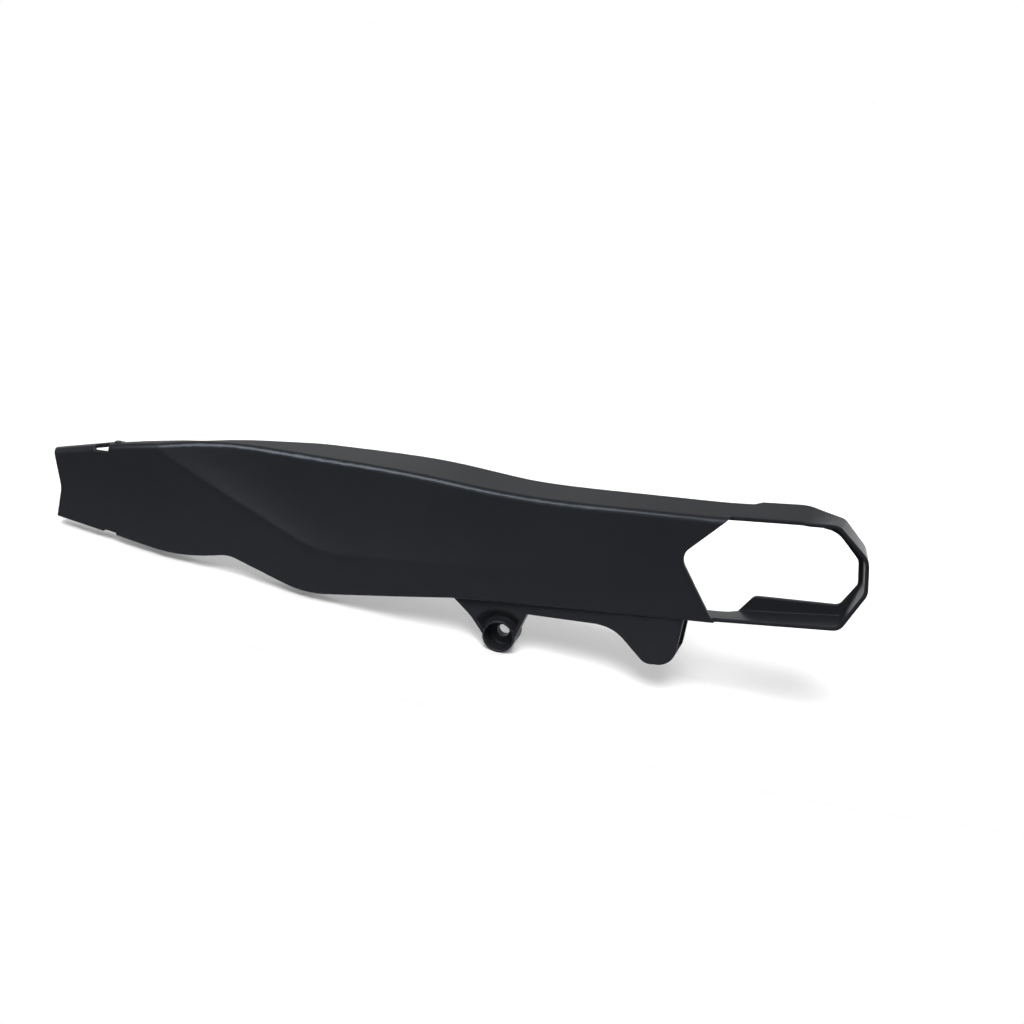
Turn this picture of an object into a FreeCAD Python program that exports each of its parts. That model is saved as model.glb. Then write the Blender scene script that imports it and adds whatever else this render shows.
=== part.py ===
import FreeCAD, Part
import math
import os

# A moulded guard that wraps the outer side of a motorbike's swingarm: a channel with a wavy lower edge,
# a ring round the axle at the rear and two lugs under it for the chain guide.
# X runs rearwards, Y inboard and Z up. Y is measured from the outer face until the last step, which puts
# the origin in the eye of the front lug.

SIZES = (
    ("wall", 2.6),
    ("face_reach", 70.0),
    ("outline_near", -14.0),
    ("outline_far", 46.0),
    ("top_draft", 5.0),
    ("under_draft", 6.0),
    ("top_edge_radius", 4.5),
    ("low_edge_radius", 2.0),
    ("inner_edge_radius", 2.0),
    ("ridge_level", 48.0),
    ("ridge_bend_x", -121.5),
    ("ridge_bend_length", 5.0),
    ("ridge_slope", 0.551),
    ("ridge_height", 5.5),
    ("ridge_tuck", 1.4),
    ("ridge_tuck_width", 4.5),
    ("scoop_width", 46.0),
    ("scoop_power", 2.4),
    ("ridge_start_x", -320.0),
    ("ridge_grown_x", -190.0),
    ("ridge_full_x", -115.0),
    ("ridge_gone_x", 120.0),
    ("tuck_start_x", -232.0),
    ("tuck_grown_x", -190.0),
    ("tuck_full_x", -140.0),
    ("tuck_gone_x", -55.0),
    ("crown", 1.8),
    ("crown_level", 66.0),
    ("crown_half", 50.0),
    ("flange_split_z", 64.0),
    ("ring_split_x", 156.0),
    ("cut_reach", 400.0),
    ("ring_depth", 31.0),
    ("lip_start_x", 153.0),
    ("lip_wall", 2.6),
    ("ring_setback", 6.0),
    ("window_depth", 22.0),
    ("top_slot_x", -279.8),
    ("low_slot_x", -276.5),
    ("tie_slot_length", 10.0),
    ("tie_slot_depth", 3.5),
    ("tie_notch_depth", 2.7),
    ("tie_slot_inboard", 4.4),
    ("mid_slot_x", -74.0),
    ("mid_slot_width", 5.0),
    ("tie_hook_x", -266.4),
    ("tie_hook_length", 3.6),
    ("tie_hook_width", 3.0),
    ("tie_hook_rise", 3.0),
    ("rib_start_x", -20.0),
    ("rib_length", 155.0),
    ("rib_width", 1.6),
    ("rib_height", 1.2),
    ("rib_first_y", 11.0),
    ("rib_pitch", 6.5),
    ("boss_radius", 10.9),
    ("boss_start", 1.5),
    ("boss_length", 18.5),
    ("boss_mouth_radius", 9.6),
    ("boss_mouth_depth", 12.0),
    ("eye_radius", 4.2),
    ("lug_rim", 2.2),
    ("lug_setback", 3.0),
    ("eye_lug_depth", 14.0),
    ("eye_lug_floor", 5.5),
    ("dish_mouth_radius", 19.0),
    ("dish_floor_radius", 13.0),
    ("skirt_wall", 2.6),
    ("stop_lug_depth", 25.0),
    ("stop_floor_rise", 13.5),
    ("lug_root", 1.0),
)

# The side outline at the outer face: x, z, corner radius, and how far the corner moves in x and z
# for each millimetre inboard. Words stand for the draft of the top and of the underside. In these tables
# a formula takes its value from another size.
OUTLINE = (
    ("front_top", -330.0, 97.6, 0.0, 0.0, "top"),
    ("brow", -255.0, 110.4, 500.0, 0.0, "top"),
    ("peak", -193.0, 117.1, 360.0, 0.0, "top"),
    ("waist", -60.0, 107.4, 1000.0, 0.0, "top"),
    ("hip", 18.0, 96.9, 650.0, 0.0, "top"),
    ("ring_top_front", 145.0, 95.5, 200.0, 0.0, "top"),
    ("ring_top_mid", 198.0, 96.55, 30.0, 0.0, 0.108),
    ("ring_top_rear", 220.7, 97.8, 8.0, -0.016, -0.152),
    ("ring_rear_top", 241.9, 75.5, 12.0, -0.22, -0.04),
    ("ring_rear_low", 241.9, 52.0, 12.0, -0.22, 0.0),
    ("ring_low_rear", 224.0, 26.3, 9.0, -0.08, -0.03),
    ("ring_low_front", 143.0, 24.6, 100.0, 0.0, "under"),
    ("lug_seat", -28.0, 25.0, 200.0, 0.0, "under"),
    ("belly", -133.0, 17.1, 64.0, 0.0, "under"),
    ("arch", -186.0, 39.4, 22.0, 0.0, "under"),
    ("nose", -220.0, 34.4, 125.0, 0.0, "under"),
    ("front_low", -330.0, 58.8, 0.0, 0.0, "under"),
)

# How far each flange reaches inboard, seen from above: x, y, corner radius
TOP_FLANGE = (
    ("top_tab", -340.0, 6.4, 0.0),
    ("top_tab_end", -261.0, 6.4, 0.0),
    ("top_narrow", -259.0, 4.6, 0.0),
    ("top_widen", -202.0, 4.6, 40.0),
    ("top_broad", -127.0, 24.4, 90.0),
    ("top_widest", -30.0, 33.2, 300.0),
    ("top_waist", 16.0, 28.2, 150.0),
    ("top_step", 162.5, 27.2, 0.0),
    ("top_ring", 167.5, "=ring_depth", 0.0),
    ("top_ring_end", 280.0, "=ring_depth", 0.0),
)
LOW_FLANGE = (
    ("low_front", -340.0, 12.0, 0.0),
    ("low_narrow", -96.0, 13.5, 0.0),
    ("low_broad", -86.0, 22.0, 6.0),
    ("low_step", 148.0, 24.0, 0.0),
    ("low_ring", 160.0, "=ring_depth", 0.0),
    ("low_ring_end", 280.0, "=ring_depth", 0.0),
)

# What is cut off the front end, seen from the side: x, z, corner radius
FRONT_EDGE = (
    ("front_edge_low", -314.6, 30.0, 0.0),
    ("front_edge_waist", -305.5, 75.5, 20.0),
    ("front_edge_high", -314.4, 125.0, 0.0),
    ("front_edge_far_high", -345.0, 125.0, 0.0),
    ("front_edge_far_low", -345.0, 30.0, 0.0),
)

# The opening round the axle: the slanted front side of the outer window, and the hole in the inner lip
WINDOW = (
    ("window_apex", 120.5, 68.6, 10.0),
    ("window_low", 150.4, 9.0, 0.0),
    ("window_low_rear", 270.0, 9.0, 0.0),
    ("window_top_rear", 270.0, 130.0, 0.0),
    ("window_top", 191.5, 130.0, 0.0),
)
LIP_HOLE = (
    ("lip_low_start", 152.0, 22.5, 0.0),
    ("lip_low_front", 163.5, 35.3, 5.0),
    ("lip_low_rear", 218.5, 34.9, 6.0),
    ("lip_rear_low", 230.3, 50.5, 6.0),
    ("lip_rear_top", 230.2, 66.8, 6.0),
    ("lip_top_rear", 216.3, 84.3, 16.0),
    ("lip_top_front", 176.0, 92.0, 2.0),
    ("lip_top_start", 165.0, 105.0, 0.0),
    ("lip_front_top", 140.0, 105.0, 0.0),
    ("lip_front_low", 140.0, 22.5, 0.0),
)

# The lugs below the lower flange; the corners at their root reach up into it
ROOT = "=lug_seat_z + lug_root"
EYE_LUG = (
    ("eye_lug_front", -33.2, ROOT, 0.0),
    ("eye_lug_hollow", -19.4, 12.4, 30.0),
    ("eye_lug_foot", "=-boss_radius", 0.0, 0.0),
    ("eye_lug_heel", "=boss_radius", 0.0, 0.0),
    ("eye_lug_rear", 19.0, 17.5, 3.0),
    ("eye_lug_top", 19.0, ROOT, 0.0),
)
SKIRT = (
    ("skirt_front", 17.0, ROOT, 0.0),
    ("skirt_low_front", 17.0, 17.2, 0.0),
    ("skirt_low_rear", 76.0, 15.0, 0.0),
    ("skirt_rear", 76.0, ROOT, 0.0),
)
STOP_LUG = (
    ("stop_lug_front", 66.0, ROOT, 0.0),
    ("stop_lug_skirt", 66.0, 15.3, 0.0),
    ("stop_lug_shoulder", 77.5, 13.6, 26.0),
    ("stop_lug_toe", 97.6, -8.6, 9.0),
    ("stop_lug_foot", 116.6, -8.6, 13.0),
    ("stop_lug_rear", 123.6, ROOT, 0.0),
)

STOP_LUG_FOOT = 4
STOP_LUG_REAR = 5
RIBS = 2

doc = FreeCAD.newDocument("swingarm_protector")
sheet = doc.addObject("Spreadsheet::Sheet", "sizes")
row = 0


def store(alias, value):
    """One driving dimension, in the next free cell."""
    global row
    row += 1
    sheet.set(f"A{row}", alias)
    sheet.set(f"B{row}", str(value))
    sheet.setAlias(f"B{row}", alias)


for alias, value in SIZES:
    store(alias, value)
for alias, x, z, radius, step_x, step_z in OUTLINE:
    store(alias + "_x", x)
    store(alias + "_z", z)
    store(alias + "_radius", radius)
for shape in (TOP_FLANGE, LOW_FLANGE, FRONT_EDGE, WINDOW, LIP_HOLE, EYE_LUG, SKIRT, STOP_LUG):
    for alias, first, second, radius in shape:
        store(alias + "_x", first)
        store(alias + "_v", second)
        store(alias + "_radius", radius)


def store_line_height(alias, first, second, slot):
    """The height of the outline's straight run between two corners, at the middle of a tie slot."""
    slope = f"({second}_z - {first}_z) / ({second}_x - {first}_x)"
    store(alias, f"={first}_z + {slope} * ({slot}_x + tie_slot_length / 2 - {first}_x)")


store_line_height("tie_top_z", "front_top", "brow", "top_slot")
store_line_height("tie_low_z", "front_low", "nose", "low_slot")
doc.recompute()


def size(alias):
    return float(sheet.get(alias))


def rounded_edges(corners):
    """Straight runs joined by tangent arcs: corners are (point, radius) in order round a closed shape."""
    count = len(corners)
    cuts = []
    for index, (point, radius) in enumerate(corners):
        to_last = (corners[index - 1][0] - point).normalize()
        to_next = (corners[(index + 1) % count][0] - point).normalize()
        if radius <= 0:
            cuts.append((point, None, point))
            continue
        half = to_last.getAngle(to_next) / 2
        reach = radius / math.tan(half)
        inward = (to_last + to_next).normalize()
        middle = point + inward * (radius / math.sin(half) - radius)
        cuts.append((point + to_last * reach, middle, point + to_next * reach))
    edges = []
    for index, (start, middle, end) in enumerate(cuts):
        if middle is not None:
            edges.append(Part.Arc(start, middle, end).toShape())
        edges.append(Part.LineSegment(end, cuts[(index + 1) % count][0]).toShape())
    return edges


def add_wire(name, corners):
    feature = doc.addObject("Part::Feature", name)
    feature.Shape = Part.Wire(rounded_edges(corners))
    return feature


def side_corners(shape):
    """The corners of a shape seen from the side, in the plane that Y is measured from."""
    corners = []
    for alias, x, z, radius in shape:
        point = FreeCAD.Vector(size(alias + "_x"), 0, size(alias + "_v"))
        corners.append((point, size(alias + "_radius")))
    return corners


def extrude(name, base, direction, forward, backward="0"):
    """Sweep a wire or a face along an axis, from -backward to forward, each an expression on the sheet."""
    feature = doc.addObject("Part::Extrusion", name)
    feature.Base = base
    feature.DirMode = "Custom"
    feature.Dir = direction
    feature.Solid = True
    feature.setExpression("LengthFwd", forward)
    feature.setExpression("LengthRev", backward)
    return feature


def combine(kind, name, base, tool):
    feature = doc.addObject("Part::" + kind, name)
    feature.Base = base
    feature.Tool = tool
    return feature


def box(name, corner, lengths):
    """A block whose corner and lengths are expressions on the sheet."""
    feature = doc.addObject("Part::Box", name)
    for axis, text in zip("xyz", corner):
        feature.setExpression(f"Placement.Base.{axis}", text)
    for side, text in zip(("Length", "Width", "Height"), lengths):
        feature.setExpression(side, text)
    return feature


def round_along_y(kind, name, start, length):
    """A round body on the eye's axis; its sizes are expressions on the sheet."""
    feature = doc.addObject("Part::" + kind, name)
    feature.Placement.Rotation = FreeCAD.Rotation(FreeCAD.Vector(1, 0, 0), -90)
    feature.setExpression("Placement.Base.y", start)
    feature.setExpression("Height", length)
    return feature


def cylinder_along_y(name, radius, start, length):
    feature = round_along_y("Cylinder", name, start, length)
    feature.setExpression("Radius", radius)
    return feature


# The drafted prism of the side outline, and the same prism one wall further in
DRAFT = {
    "top": math.tan(math.radians(size("top_draft"))),
    "under": -math.tan(math.radians(size("under_draft"))),
}


def outline_corners(y):
    corners = []
    for alias, x, z, radius, step_x, step_z in OUTLINE:
        rise = DRAFT.get(step_z, step_z)
        point = FreeCAD.Vector(size(alias + "_x") + step_x * y, y, size(alias + "_z") + rise * y)
        corners.append((point, size(alias + "_radius")))
    return corners


def shrunk(corners, distance):
    """The same side shape, one distance further in all round; its corners run clockwise seen from outside."""
    count = len(corners)
    inner = []
    for index, (point, radius) in enumerate(corners):
        along = (point - corners[index - 1][0]).normalize()
        onward = (corners[(index + 1) % count][0] - point).normalize()
        first = FreeCAD.Vector(along.z, 0, -along.x)
        second = FreeCAD.Vector(onward.z, 0, -onward.x)
        moved = point + (first + second) * (distance / (1 + first.dot(second)))
        outward_bend = along.z * onward.x - along.x * onward.z > 0
        if radius > 0:
            radius += -distance if outward_bend else distance
        inner.append((moved, radius))
    return inner


def outline_prism(name, depths, inset):
    sections = []
    for word, y in zip(("near", "far"), depths):
        sections.append(add_wire(f"{name}_{word}", shrunk(outline_corners(y), inset)))
    prism = doc.addObject("Part::Loft", name)
    prism.Sections = sections
    prism.Solid = True
    prism.Ruled = True
    return prism


outline_depths = (size("outline_near"), size("outline_far"))
blank = outline_prism("blank", outline_depths, 0.0)
hollow = outline_prism("hollow", outline_depths, size("wall"))


# The outer face: a slight crown, and a ridge that runs down from the top edge and then rearwards.
# The face scoops out towards the ridge from above, and tucks back just below it.
def ramp(value, start, end):
    share = min(max((value - start) / (end - start), 0.0), 1.0)
    return share * share * (3 - 2 * share)


def ridge_line(x):
    length = size("ridge_bend_length")
    along = (x - size("ridge_bend_x")) / length
    drop = math.log1p(math.exp(-along)) if along > -30 else -along
    return size("ridge_level") + size("ridge_slope") * length * drop


def face_y(x, above):
    height = size("ridge_height") * ramp(x, size("ridge_start_x"), size("ridge_grown_x"))
    height *= 1 - ramp(x, size("ridge_full_x"), size("ridge_gone_x"))
    tuck = size("ridge_tuck") * ramp(x, size("tuck_start_x"), size("tuck_grown_x"))
    tuck *= 1 - ramp(x, size("tuck_full_x"), size("tuck_gone_x"))
    if above >= 0:
        left = max(1 - above / size("scoop_width"), 0.0)
        proud = height * left ** size("scoop_power")
    else:
        proud = height - tuck * ramp(-above, 0.0, size("ridge_tuck_width"))
    level = (ridge_line(x) + above - size("crown_level")) / size("crown_half")
    return size("crown") * min(level * level, 4.0) - proud


FACE_START = -350.0
FACE_STEP = 12.0
FACE_STATIONS = 52
ACROSS = (-190, -150, -115, -85, -60, -42, -28, -18, -11, -7, -5, -3.6, -2.4, -1.2,
          0, 1.2, 2.6, 4.5, 8, 13, 20, 29, 40, 54, 72, 95)
face_poles = []
for station in range(FACE_STATIONS):
    x = FACE_START + FACE_STEP * station
    face_poles.append([FreeCAD.Vector(x, face_y(x, v), ridge_line(x) + v) for v in ACROSS])


def clamped_knots(count, degree):
    """Even knots for a row of poles, with the surface meeting the first and the last."""
    spans = count - degree
    return [degree + 1] + [1] * (spans - 1) + [degree + 1], list(range(spans + 1))


FACE_DEGREE = 3
long_mults, long_knots = clamped_knots(FACE_STATIONS, FACE_DEGREE)
across_mults, across_knots = clamped_knots(len(ACROSS), FACE_DEGREE)
face_surface = Part.BSplineSurface()
face_surface.buildFromPolesMultsKnots(face_poles, long_mults, across_mults, long_knots, across_knots,
                                      False, False, FACE_DEGREE, FACE_DEGREE)
outer_face = doc.addObject("Part::Feature", "outer_face")
outer_face.Shape = face_surface.toShape()

behind_face = extrude("behind_face", outer_face, (0, 1, 0), "sizes.face_reach")
behind_wall = extrude("behind_wall", outer_face, (0, 1, 0), "sizes.face_reach", "-sizes.wall")
block = combine("Common", "block", blank, behind_face)
core = combine("Common", "core", hollow, behind_wall)
ahead = box("ahead", ("sizes.ring_split_x - 2 * sizes.cut_reach", "-sizes.cut_reach", "-sizes.cut_reach"),
            ("2 * sizes.cut_reach", "2 * sizes.cut_reach", "2 * sizes.cut_reach"))
astern = box("astern", ("sizes.ring_split_x", "-sizes.cut_reach", "-sizes.cut_reach"),
             ("sizes.cut_reach", "2 * sizes.cut_reach", "2 * sizes.cut_reach"))
arm_block = combine("Common", "arm_block", block, ahead)
ring_block = combine("Common", "ring_block", block, astern)
arm_core = combine("Common", "arm_core", core, ahead)
ring_core = combine("Common", "ring_core", core, astern)
doc.recompute()


# The edges of the outer face are rounded, more along the top than below
def round_face(name, base, radius_at):
    """Round the border of a block's outer face; radius_at gives the radius from an edge's middle."""
    faces = [face for face in base.Shape.Faces if face.Surface.TypeId == "Part::GeomBSplineSurface"]
    border = max(faces, key=lambda face: face.Area).Edges
    entries = []
    for index, edge in enumerate(base.Shape.Edges, 1):
        radius = radius_at(edge.CenterOfMass)
        if radius > 0 and any(edge.isSame(other) for other in border):
            entries.append((index, radius, radius))
    feature = doc.addObject("Part::Fillet", name)
    feature.Base = base
    feature.Edges = entries
    return feature


front_end_x = size("front_top_x") + size("wall") * 2


def arm_radius(middle):
    if middle.x < front_end_x or middle.x > size("ring_split_x") - size("wall") / 2:
        return 0.0
    return size("top_edge_radius") if middle.z > size("flange_split_z") else size("low_edge_radius")


def core_radius(middle):
    return size("inner_edge_radius") if arm_radius(middle) > 0 else 0.0


arm_rounded = round_face("arm_rounded", arm_block, arm_radius)
core_rounded = round_face("core_rounded", arm_core, core_radius)
solid_form = combine("Fuse", "solid_form", arm_rounded, ring_block)
channel = combine("Cut", "channel_arm", solid_form, core_rounded)
channel = combine("Cut", "channel", channel, ring_core)


# The flanges end inboard on their own lines, and the front edge is a shallow notch
def flange_trim(name, shape, upward):
    """Everything inboard of a flange's edge, above or below the level that parts the two flanges."""
    corners = []
    level = size("flange_split_z")
    for alias, x, y, radius in shape:
        corners.append((FreeCAD.Vector(size(alias + "_x"), size(alias + "_v"), level), size(alias + "_radius")))
    for alias in (shape[-1][0], shape[0][0]):
        corners.append((FreeCAD.Vector(size(alias + "_x"), size("cut_reach"), level), 0.0))
    wire = add_wire(name + "_line", corners)
    return extrude(name, wire, (0, 0, 1 if upward else -1), "sizes.cut_reach")


top_trim = flange_trim("top_trim", TOP_FLANGE, True)
low_trim = flange_trim("low_trim", LOW_FLANGE, False)
front_line = add_wire("front_line", side_corners(FRONT_EDGE))
front_trim = extrude("front_trim", front_line, (0, 1, 0), "sizes.cut_reach", "sizes.cut_reach")
trimmed = combine("Cut", "trimmed", channel, top_trim)
trimmed = combine("Cut", "trimmed_low", trimmed, low_trim)
trimmed = combine("Cut", "trimmed_front", trimmed, front_trim)

# The outer face ends at the window's slanted sides. Past them only a band goes on round the axle, set back
# from the face, and an inner lip turns in from the band's far edge.
window_line = add_wire("window_line", side_corners(WINDOW))
ring_face = extrude("ring_face", window_line, (0, 1, 0), "sizes.ring_setback", "sizes.cut_reach")
window_side = extrude("window_side", window_line, (0, 1, 0), "sizes.window_depth")
window = combine("Common", "window", hollow, window_side)
opened = combine("Cut", "opened_face", trimmed, ring_face)
opened = combine("Cut", "opened", opened, window)
lip_slab = box("lip_slab", ("sizes.lip_start_x", "sizes.ring_depth - sizes.lip_wall", "-sizes.cut_reach"),
               ("sizes.cut_reach", "sizes.lip_wall", "2 * sizes.cut_reach"))
lip_plate = combine("Common", "lip_plate", blank, lip_slab)
lip_line = add_wire("lip_line", side_corners(LIP_HOLE))
lip_hole = extrude("lip_hole", lip_line, (0, 1, 0), "sizes.cut_reach")
lip = combine("Cut", "lip", lip_plate, lip_hole)
ringed = combine("Fuse", "ringed", opened, lip)

# Slots for cable ties cut the two front corners, and a small hook stands behind the upper one
top_slot = box("top_slot", ("sizes.top_slot_x", "-sizes.cut_reach", "sizes.tie_top_z - sizes.tie_slot_depth"),
               ("sizes.tie_slot_length", "sizes.cut_reach + sizes.tie_slot_inboard", "sizes.cut_reach"))
low_slot_z = "sizes.tie_low_z + sizes.tie_notch_depth - sizes.cut_reach"
low_slot = box("low_slot", ("sizes.low_slot_x", "-sizes.cut_reach", low_slot_z),
               ("sizes.tie_slot_length", "sizes.cut_reach + sizes.tie_slot_inboard", "sizes.cut_reach"))
mid_slot = box("mid_slot", ("sizes.mid_slot_x", "sizes.wall", "sizes.flange_split_z - sizes.cut_reach"),
               ("sizes.tie_slot_length", "sizes.mid_slot_width", "sizes.cut_reach"))
slotted = combine("Cut", "slotted_top", ringed, top_slot)
slotted = combine("Cut", "slotted_low", slotted, low_slot)
slotted = combine("Cut", "slotted_mid", slotted, mid_slot)

hook = box("hook", ("sizes.tie_hook_x", "sizes.top_tab_end_v - sizes.tie_hook_width", "sizes.tie_top_z"),
           ("sizes.tie_hook_length", "sizes.tie_hook_width", "sizes.tie_hook_rise"))

# Two low ribs run along the lower flange, inside the channel
ribs = []
for number in range(RIBS):
    line = f"(sizes.rib_first_y + {number} * sizes.rib_pitch)"
    level = f"sizes.lug_seat_z - tan(sizes.under_draft * 1 deg) * {line}"
    ribs.append(box(f"rib_{number + 1}", ("sizes.rib_start_x", line, level),
                    ("sizes.rib_length", "sizes.rib_width", "sizes.wall + sizes.rib_height")))


# The lugs hang from the lower flange: a dished one round the eye, a strip of skirt, and a hollow one
def lug_prism(name, corners, start, end):
    return extrude(name, add_wire(name + "_line", corners), (0, 1, 0), end, f"-({start})")


eye_corners = side_corners(EYE_LUG)
eye_body = lug_prism("eye_body", eye_corners, "sizes.lug_setback", "sizes.eye_lug_depth")
dish_bound = lug_prism("dish_bound", shrunk(eye_corners, -size("lug_rim")),
                       "-sizes.cut_reach", "sizes.cut_reach")
dish_cone = round_along_y("Cone", "dish_cone", "sizes.lug_setback",
                          "sizes.eye_lug_depth - sizes.eye_lug_floor - sizes.lug_setback")
dish_cone.setExpression("Radius1", "sizes.dish_mouth_radius")
dish_cone.setExpression("Radius2", "sizes.dish_floor_radius")
eye_dish = combine("Common", "eye_dish", dish_cone, dish_bound)
eye_lug = combine("Cut", "eye_lug", eye_body, eye_dish)
skirt = lug_prism("skirt", side_corners(SKIRT), "sizes.lug_setback", "sizes.lug_setback + sizes.skirt_wall")
stop_corners = side_corners(STOP_LUG)
stop_body = lug_prism("stop_body", stop_corners, "sizes.lug_setback", "sizes.stop_lug_depth")
pocket_corners = shrunk(stop_corners, -size("lug_rim"))
for index, rise in ((STOP_LUG_FOOT, size("stop_floor_rise")), (STOP_LUG_REAR, 0.0)):
    point, radius = pocket_corners[index]
    pocket_corners[index] = (point + FreeCAD.Vector(size("stop_lug_depth"), 0, rise), radius)
stop_pocket = lug_prism("stop_pocket", pocket_corners, "sizes.lug_setback + sizes.skirt_wall",
                        "sizes.stop_lug_depth - sizes.lug_rim")
stop_lug = combine("Cut", "stop_lug", stop_body, stop_pocket)
boss = cylinder_along_y("boss", "sizes.boss_radius", "sizes.boss_start", "sizes.boss_length")
boss_mouth = cylinder_along_y("boss_mouth", "sizes.boss_mouth_radius", "sizes.boss_start",
                              "sizes.boss_mouth_depth")
eye = cylinder_along_y("eye", "sizes.eye_radius", "sizes.boss_start", "sizes.boss_length")

eye_lug = combine("Fuse", "eye_lug_boss", eye_lug, boss)
eye_lug = combine("Cut", "eye_lug_mouth", eye_lug, boss_mouth)
eye_lug = combine("Cut", "eye_lug_bored", eye_lug, eye)

shell = doc.addObject("Part::MultiFuse", "protector_shell")
shell.Shapes = [slotted, hook, *ribs, eye_lug, skirt, stop_lug]
shell.Label = "protector_shell"

# The origin moves to the middle of the eye's wall
shell.setExpression("Placement.Base.y",
                    "-(sizes.boss_start + (sizes.boss_mouth_depth + sizes.boss_length) / 2)")
doc.recompute()

failed = [item.Name for item in doc.Objects if "Invalid" in item.State or "Error" in item.State]
if failed:
    raise RuntimeError("not built: " + ", ".join(failed))
if shell.Shape.isNull() or not shell.Shape.isValid() or len(shell.Shape.Solids) != 1:
    raise RuntimeError("the protector isn't one valid solid")
os.makedirs("parts", exist_ok=True)
shell.Shape.exportStep(f"parts/{shell.Label}.step")
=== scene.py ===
import math

import bmesh
import bpy
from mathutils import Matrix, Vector


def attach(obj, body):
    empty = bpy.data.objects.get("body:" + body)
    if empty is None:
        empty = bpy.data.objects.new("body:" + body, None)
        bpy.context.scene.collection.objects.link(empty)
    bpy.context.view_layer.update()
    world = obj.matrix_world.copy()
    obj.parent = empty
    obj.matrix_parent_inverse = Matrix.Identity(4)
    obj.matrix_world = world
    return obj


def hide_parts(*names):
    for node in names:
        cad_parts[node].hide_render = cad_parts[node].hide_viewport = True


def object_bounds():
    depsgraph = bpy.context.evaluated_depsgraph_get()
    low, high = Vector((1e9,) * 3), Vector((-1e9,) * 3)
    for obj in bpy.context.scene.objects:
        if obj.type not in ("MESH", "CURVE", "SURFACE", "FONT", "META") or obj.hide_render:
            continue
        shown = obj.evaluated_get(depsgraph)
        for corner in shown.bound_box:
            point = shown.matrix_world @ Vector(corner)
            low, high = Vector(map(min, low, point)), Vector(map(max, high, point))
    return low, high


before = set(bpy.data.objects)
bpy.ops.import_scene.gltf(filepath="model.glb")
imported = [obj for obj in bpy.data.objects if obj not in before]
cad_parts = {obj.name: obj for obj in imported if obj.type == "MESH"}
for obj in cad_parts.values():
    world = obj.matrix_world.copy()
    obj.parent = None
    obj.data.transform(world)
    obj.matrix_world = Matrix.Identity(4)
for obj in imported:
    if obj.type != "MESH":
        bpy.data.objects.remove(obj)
cad_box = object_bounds()
scene = bpy.context.scene
MM = 0.001


# The shell is one injection-moulded piece of black plastic: a channel that goes over the outer side of the
# swingarm, with a ring round the axle and two lugs below. Its skin is a smooth copy of the solid, with the
# tangent faces shaded as one and the true edges left crisp.
SHARP_ANGLE = math.radians(28)
MERGE_DISTANCE = 2e-6
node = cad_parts["protector_shell"]


def plain_mesh(source, name):
    """Give an object the mesh that its modifiers make, and drop them."""
    graph = bpy.context.evaluated_depsgraph_get()
    mesh = bpy.data.meshes.new_from_object(source.evaluated_get(graph))
    mesh.name = name
    source.modifiers.clear()
    source.data = mesh


merged = bmesh.new()
merged.from_mesh(node.data)
bmesh.ops.remove_doubles(merged, verts=merged.verts, dist=MERGE_DISTANCE)
merged.verts.index_update()
skin_points = [vertex.co.copy() for vertex in merged.verts]
skin_faces = [[vertex.index for vertex in face.verts] for face in merged.faces]
merged.free()
skin_mesh = bpy.data.meshes.new("moulded_shell")
skin_mesh.from_pydata(skin_points, [], skin_faces)
skin_mesh.shade_smooth()
skin_mesh.set_sharp_from_angle(angle=SHARP_ANGLE)
shell = bpy.data.objects.new("moulded_shell", skin_mesh)
scene.collection.objects.link(shell)
even_normals = shell.modifiers.new("even_normals", "WEIGHTED_NORMAL")
even_normals.keep_sharp = True
even_normals.mode = "FACE_AREA_WITH_ANGLE"
plain_mesh(shell, "moulded_shell")


class Socket:
    """A shader value: operators add Math nodes, and node() adds any other kind."""

    def __init__(self, tree, link):
        self.tree = tree
        self.link = link

    def put(self, value, socket):
        if isinstance(value, Socket):
            self.tree.links.new(value.link, socket)
        else:
            socket.default_value = value

    def node(self, kind, output, settings=None, **values):
        made = self.tree.nodes.new(kind)
        for key, value in (settings or {}).items():
            setattr(made, key, value)
        for key, value in values.items():
            self.put(value, made.inputs[key.replace("_", " ")])
        return Socket(self.tree, made.outputs[output])

    def maths(self, operation, first, second):
        made = self.tree.nodes.new("ShaderNodeMath")
        made.operation = operation
        for socket, value in zip(made.inputs, (first, second)):
            self.put(value, socket)
        return Socket(self.tree, made.outputs[0])

    def __add__(self, other):
        return self.maths("ADD", self, other)

    def __radd__(self, other):
        return self.maths("ADD", other, self)

    def __mul__(self, other):
        return self.maths("MULTIPLY", self, other)

    def __rmul__(self, other):
        return self.maths("MULTIPLY", other, self)

    def __sub__(self, other):
        return self.maths("SUBTRACT", self, other)

    def __rsub__(self, other):
        return self.maths("SUBTRACT", other, self)


def new_material(name):
    """A node material, with its tree and its shader."""
    material = bpy.data.materials.new(name)
    material.use_nodes = True
    tree = material.node_tree
    return material, tree, tree.nodes["Principled BSDF"]


def feed(tree, value, shader, name):
    tree.links.new(value.link, shader.inputs[name])


# Moulded black plastic: a near-black with a faint blue cast, spark-eroded to a fine matte grain, flowing a
# little glossier and paler in broad patches. Edges are broken by about a millimetre.
PLASTIC_DARK = (0.0135, 0.0140, 0.0162, 1.0)
PLASTIC_PALE = (0.0178, 0.0185, 0.0212, 1.0)
FLOW_SCALE = 14.0
FLOW_DETAIL = 4.0
FLOW_BREAKUP = 0.6
GRAIN_SCALE = 1500.0
GRAIN_DETAIL = 2.0
GRAIN_STRENGTH = 0.5
GRAIN_DEPTH = 0.03 * MM
EDGE_BREAK = 1.3 * MM
MIX_SHARE, MIX_FIRST, MIX_SECOND, MIX_COLOUR = 0, 6, 7, 2
ROUGHNESS = 0.30
FLOW_ROUGHNESS = 0.08
GRAIN_ROUGHNESS = 0.10
EDGE_SAMPLES = 6
SHEEN_LEVEL = 0.040
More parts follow.
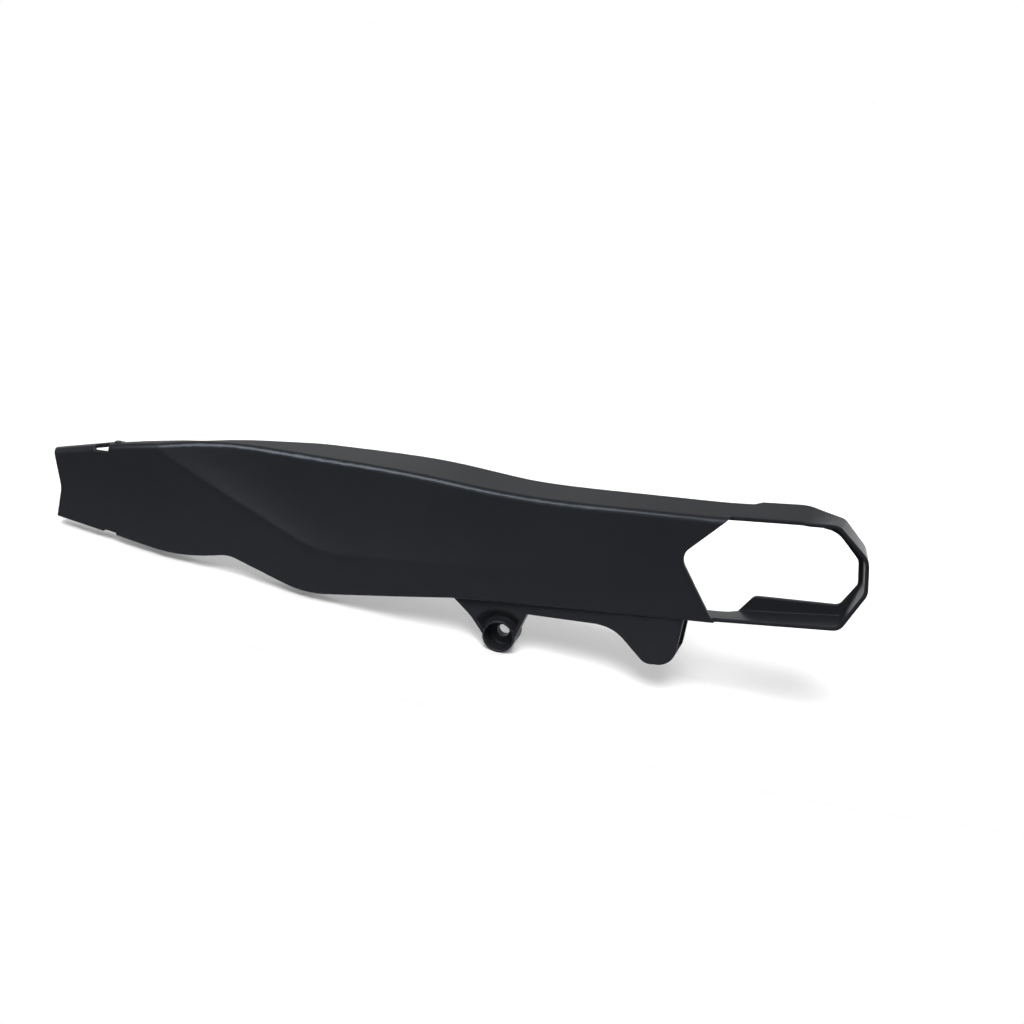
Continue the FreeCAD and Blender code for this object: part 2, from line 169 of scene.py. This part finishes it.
SHEEN_TINT = (0.75, 0.85, 1.0, 1.0)


def black_plastic():
    material, tree, shader = new_material("black_plastic")
    start = Socket(tree, None)
    place = start.node("ShaderNodeTexCoord", "Object")
    flow = start.node("ShaderNodeTexNoise", "Fac", Vector=place, Scale=FLOW_SCALE, Detail=FLOW_DETAIL,
                      Roughness=FLOW_BREAKUP)
    grain = start.node("ShaderNodeTexNoise", "Fac", Vector=place, Scale=GRAIN_SCALE, Detail=GRAIN_DETAIL)
    colour = start.node("ShaderNodeMix", MIX_COLOUR, {"data_type": "RGBA"})
    mix = colour.link.node
    tree.links.new(flow.link, mix.inputs[MIX_SHARE])
    mix.inputs[MIX_FIRST].default_value = PLASTIC_DARK
    mix.inputs[MIX_SECOND].default_value = PLASTIC_PALE
    feed(tree, colour, shader, "Base Color")
    roughness = ROUGHNESS + (flow - 0.5) * FLOW_ROUGHNESS + (grain - 0.5) * GRAIN_ROUGHNESS
    feed(tree, roughness, shader, "Roughness")
    broken_edge = start.node("ShaderNodeBevel", "Normal", {"samples": EDGE_SAMPLES}, Radius=EDGE_BREAK)
    bump = start.node("ShaderNodeBump", "Normal", Height=grain, Normal=broken_edge,
                      Strength=GRAIN_STRENGTH, Distance=GRAIN_DEPTH)
    feed(tree, bump, shader, "Normal")
    shader.inputs["Specular IOR Level"].default_value = SHEEN_LEVEL
    shader.inputs["Specular Tint"].default_value = SHEEN_TINT
    return material


plastic = black_plastic()
shell.data.materials.append(plastic)
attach(shell, "root")
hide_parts("protector_shell")


# Where pins pushed the hot shell out of its mould they left round marks on the inside of the wall, a hair
# proud of it. Each is dropped from inside the channel onto the wall and lies along it.
MARK_RADIUS = 3.2 * MM
MARK_HEIGHT = 0.25 * MM
MARK_SIDES = 40
MARK_REACH = 0.1
MARK_PLACES = ((-288, 86), (-284, 63), (-206, 98), (-108, 34), (-20, 84), (90, 40))


def marks_tree():
    tree = bpy.data.node_groups.new("pin_marks", "GeometryNodeTree")
    tree.interface.new_socket("Places", in_out="INPUT", socket_type="NodeSocketGeometry")
    inputs = (("Wall", "Object"), ("Radius", "Float"), ("Height", "Float"), ("Finish", "Material"))
    for name, kind in inputs:
        tree.interface.new_socket(name, in_out="INPUT", socket_type="NodeSocket" + kind)
    tree.interface.new_socket("Marks", in_out="OUTPUT", socket_type="NodeSocketGeometry")
    add = tree.nodes.new
    link = tree.links.new
    given = add("NodeGroupInput")
    wall = add("GeometryNodeObjectInfo")
    link(given.outputs["Wall"], wall.inputs["Object"])
    cast = add("GeometryNodeRaycast")
    link(wall.outputs["Geometry"], cast.inputs["Target Geometry"])
    cast.inputs["Ray Direction"].default_value = (0, -1, 0)
    cast.inputs["Ray Length"].default_value = MARK_REACH
    drop = add("GeometryNodeSetPosition")
    link(cast.outputs["Hit Position"], drop.inputs["Position"])
    keep = add("GeometryNodeCaptureAttribute")
    keep.capture_items.new("VECTOR", "Facing")
    link(given.outputs["Places"], keep.inputs["Geometry"])
    link(cast.outputs["Hit Normal"], keep.inputs["Facing"])
    link(keep.outputs["Geometry"], drop.inputs["Geometry"])
    turn = add("FunctionNodeAlignRotationToVector")
    turn.axis = "Z"
    link(keep.outputs["Facing"], turn.inputs["Vector"])
    disc = add("GeometryNodeMeshCylinder")
    disc.inputs["Vertices"].default_value = MARK_SIDES
    link(given.outputs["Radius"], disc.inputs["Radius"])
    link(given.outputs["Height"], disc.inputs["Depth"])
    spread = add("GeometryNodeInstanceOnPoints")
    link(drop.outputs["Geometry"], spread.inputs["Points"])
    link(disc.outputs["Mesh"], spread.inputs["Instance"])
    link(turn.outputs["Rotation"], spread.inputs["Rotation"])
    real = add("GeometryNodeRealizeInstances")
    link(spread.outputs["Instances"], real.inputs["Geometry"])
    finish = add("GeometryNodeSetMaterial")
    link(real.outputs["Geometry"], finish.inputs["Geometry"])
    link(given.outputs["Finish"], finish.inputs["Material"])
    result = add("NodeGroupOutput")
    link(finish.outputs["Geometry"], result.inputs["Marks"])
    return tree


def set_inputs(modifier, **values):
    for item in modifier.node_group.interface.items_tree:
        if item.in_out == "INPUT" and item.name in values:
            modifier[item.identifier] = values[item.name]


inside_y = cad_box[1][1]
places = bpy.data.meshes.new("pin_marks")
places.from_pydata([(x * MM, inside_y, z * MM) for x, z in MARK_PLACES], [], [])
marks = bpy.data.objects.new("pin_marks", places)
scene.collection.objects.link(marks)
spread_marks = marks.modifiers.new("spread", "NODES")
spread_marks.node_group = marks_tree()
set_inputs(spread_marks, Wall=shell, Radius=MARK_RADIUS, Height=2 * MARK_HEIGHT, Finish=plastic)
plain_mesh(marks, "pin_marks")
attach(marks, "root")


# The part leans on a plain white floor, on the front lug and nearly on its front corner, so the floor runs
# uphill to the front. It is seen only from above.
FLOOR_SLOPE = math.radians(10.7)
FLOOR_RADIUS = 1.0
FLOOR_SIDES = 64
FLOOR_BACK = 0.88
FLOOR_GAP = 0.4 * MM
FLOOR_COLOUR = (0.93, 0.93, 0.93, 1.0)
FLOOR_ROUGHNESS = 0.9
lowest = cad_box[0][2]
floor_mesh = bpy.data.meshes.new("floor")
disc = bmesh.new()
bmesh.ops.create_circle(disc, cap_ends=True, segments=FLOOR_SIDES, radius=FLOOR_RADIUS)
disc.to_mesh(floor_mesh)
disc.free()
floor = bpy.data.objects.new("floor", floor_mesh)
floor.location = (0, FLOOR_BACK, lowest - FLOOR_GAP)
floor.rotation_euler = (0, FLOOR_SLOPE, 0)
scene.collection.objects.link(floor)


def floor_paint():
    material, tree, shader = new_material("floor_white")
    shader.inputs["Base Color"].default_value = FLOOR_COLOUR
    shader.inputs["Roughness"].default_value = FLOOR_ROUGHNESS
    shader.inputs["Specular IOR Level"].default_value = 0.0
    start = Socket(tree, None)
    below = start.node("ShaderNodeNewGeometry", "Backfacing")
    clear = start.node("ShaderNodeBsdfTransparent", "BSDF")
    both = tree.nodes.new("ShaderNodeMixShader")
    tree.links.new(below.link, both.inputs[0])
    tree.links.new(shader.outputs[0], both.inputs[1])
    tree.links.new(clear.link, both.inputs[2])
    tree.links.new(both.outputs[0], tree.nodes["Material Output"].inputs["Surface"])
    return material


floor.data.materials.append(floor_paint())


# Soft studio light: a wide lamp far off above the front, a fill behind, pale cards that only show as
# sheen, and a sky that lights from overhead and hardly from the horizon. To the eye, in reflections and
# through clear things the sky is white.
SKY_TOP = 0.70
SKY_EDGE = 0.08
AIM = Vector((-0.05, 0, 0.06))
FAR_PLACE = (0.10, -0.58, 0.80)
FAR_WIDTH = math.radians(32)
FAR_LAMPS = (("far_lamp", 2.9, True), ("far_sheen", 12.9, False))
NEAR_LAMPS = (
    ("front_end_card", (-0.35, -0.45, 0.75), (0.5, 0.5), 46.0, False, True),
    ("back_card", (-0.62, 0.80, 0.62), (0.9, 0.5), 1.4, False, True),
    ("rear_end_card", (1.15, -0.50, 0.36), (0.6, 0.5), 12.0, False, True),
    ("low_front_card", (0.05, -1.50, 0.42), (0.8, 0.3), 8.0, False, True),
    ("horizon_card", (1.00, 1.40, 0.12), (0.7, 0.4), 0.5, False, True),
    ("back_fill", (0.10, 1.50, 0.42), (1.6, 0.6), 22.0, True, False),
)
world = bpy.data.worlds.new("studio")
scene.world = world
world.use_nodes = True
tree = world.node_tree
sky = Socket(tree, None)
ray = sky.node("ShaderNodeLightPath", "Is Camera Ray").link.node
seen = Socket(tree, ray.outputs["Is Camera Ray"])
through = Socket(tree, ray.outputs["Is Transmission Ray"])
mirrored = Socket(tree, ray.outputs["Is Glossy Ray"])
direction = sky.node("ShaderNodeTexCoord", "Generated")
upward = sky.node("ShaderNodeSeparateXYZ", "Z", Vector=direction)
shade = SKY_EDGE + (SKY_TOP - SKY_EDGE) * sky.node("ShaderNodeClamp", "Result", Value=upward)
white = seen + through + mirrored
level = white + (1.0 - white) * shade
backdrop = tree.nodes["Background"]
backdrop.inputs["Color"].default_value = (1.0, 1.0, 1.0, 1.0)
tree.links.new(level.link, backdrop.inputs["Strength"])


def hang(name, kind, place, power, lights, shows=True):
    """A lamp at a place, turned to the object; it lights things, shows in them as sheen, or both."""
    lamp = bpy.data.lights.new(name, kind)
    lamp.energy = power
    holder = bpy.data.objects.new(name, lamp)
    holder.location = place
    holder.rotation_euler = (AIM - Vector(place)).to_track_quat("-Z", "Y").to_euler()
    holder.visible_diffuse = lights
    holder.visible_glossy = shows
    scene.collection.objects.link(holder)
    return lamp


for name, power, lights in FAR_LAMPS:
    hang(name, "SUN", FAR_PLACE, power, lights).angle = FAR_WIDTH
for name, place, sides, power, lights, shows in NEAR_LAMPS:
    near_lamp = hang(name, "AREA", place, power, lights, shows)
    near_lamp.shape = "RECTANGLE"
    near_lamp.size, near_lamp.size_y = sides


# The camera looks at the outer face from a little behind the middle and from above
AZIMUTH = math.radians(16)
ELEVATION = math.radians(19)
DISTANCE = 1.8274
SENSOR = 36
LENS = 100
TARGET = Vector((9.86, -16.75, 87.66)) * MM
camera_data = bpy.data.cameras.new("camera")
camera_data.sensor_width = SENSOR
camera_data.lens = LENS
camera = bpy.data.objects.new("camera", camera_data)
back = Vector((math.sin(AZIMUTH) * math.cos(ELEVATION), -math.cos(AZIMUTH) * math.cos(ELEVATION),
               math.sin(ELEVATION)))
camera.location = TARGET + back * DISTANCE
camera.rotation_euler = (-back).to_track_quat("-Z", "Y").to_euler()
scene.collection.objects.link(camera)
scene.camera = camera

scene.view_settings.view_transform = "Standard"
